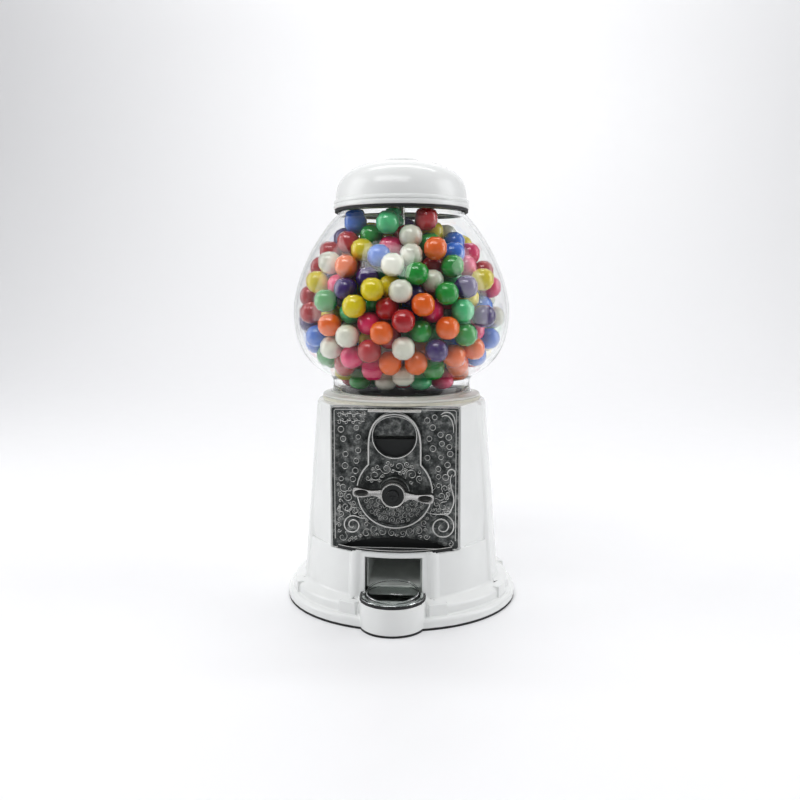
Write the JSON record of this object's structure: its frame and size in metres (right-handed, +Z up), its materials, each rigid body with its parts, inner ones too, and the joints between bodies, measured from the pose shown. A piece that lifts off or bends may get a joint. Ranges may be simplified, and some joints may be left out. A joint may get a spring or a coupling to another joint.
{
  "type": "gumball machine",
  "caption": "Countertop gumball machine: glass globe of coloured gumballs with a screw-down lid on a white cast housing with a coin mechanism, handle, chute and cup.",
  "frame": {"origin": "centre of the resting face, on the axis of the globe and the tie rod", "axes": "+Z up, -Y towards the handle and the cup, +X to the right when facing the handle from behind the machine's user"},
  "size_m": [0.1624, 0.1737, 0.3048],
  "materials": {
    "white_enamel": "gloss",
    "clear_glass": "gloss",
    "clear_plastic": "gloss",
    "antique_metal": "satin",
    "steel": "satin",
    "dark_plastic": "satin",
    "grey_plastic": "satin",
    "white_plastic": "satin",
    "dark_rubber": "matt",
    "pale_rubber": "matt",
    "gumball_shell": "gloss"
  },
  "bodies": {
    "housing_body": {"base_pad": "dark_rubber", "housing": "white_enamel", "bottom_plate": "steel", "bottom_screws": "steel", "wheel_tray": "dark_plastic", "ball_guard": "steel", "chute": "grey_plastic", "chute_screws": "steel", "tie_rod": "steel", "rod_bracket": "steel", "bracket_screws": "steel", "rod_nut": "steel", "rod_washers": "steel", "globe_gasket": "pale_rubber", "globe": "clear_glass", "gumballs": "gumball_shell", "faceplate": "antique_metal", "faceplate_screws": "steel", "pawl_pin": "steel", "pawl_spring": "steel", "mechanism_plate": "steel", "mechanism_posts": "steel", "mechanism_screws": "steel", "coin_guide": "grey_plastic", "candy_dish": "clear_plastic", "dish_gasket": "dark_rubber"},
    "plug_body": {"coin_plug": "dark_rubber"},
    "wheel_body": {"dispensing_wheel": "dark_plastic", "wheel_gear": "white_plastic"},
    "lid_body": {"lid": "white_enamel", "lid_gasket": "dark_rubber"},
    "knob_body": {"lid_knob": "white_enamel"},
    "handle_body": {"coin_handle": "antique_metal", "handle_screw": "steel", "handle_shaft": "steel", "coin_carrier": "white_plastic", "ratchet_wheel": "steel", "drive_pinion": "white_plastic", "shaft_clip": "steel"},
    "pawl_body": {"pawl": "steel"}
  },
  "joints": [
    {"name": "handle_turn", "type": "hinge", "parent": "housing_body", "child": "handle_body", "pos_m": [0, -0.06, 0.0852], "axis": [0, 1, 0], "continuous": true},
    {"name": "wheel_turn", "type": "hinge", "parent": "housing_body", "child": "wheel_body", "pos_m": [0, 0, 0.14], "axis": [0, 0, 1], "continuous": true},
    {"name": "lid_lift", "type": "slide", "parent": "housing_body", "child": "lid_body", "axis": [0, 0, 1], "range_m": [0, 0.07]},
    {"name": "knob_turn", "type": "hinge", "parent": "lid_body", "child": "knob_body", "pos_m": [0, 0, 0.303], "axis": [0, 0, 1], "continuous": true},
    {"name": "plug_pull", "type": "slide", "parent": "housing_body", "child": "plug_body", "axis": [0, 0, -1], "range_m": [0, 0.02]},
    {"name": "pawl_lift", "type": "hinge", "parent": "housing_body", "child": "pawl_body", "pos_m": [0.019, -0.0398, 0.101], "axis": [0, 1, 0], "range_deg": [0, 12], "stiffness_Nm_per_rad": 0.01}
  ],
  "couplings": [
    {"joint": "wheel_turn", "follows": "handle_turn", "ratio": 0.2}
  ]
}
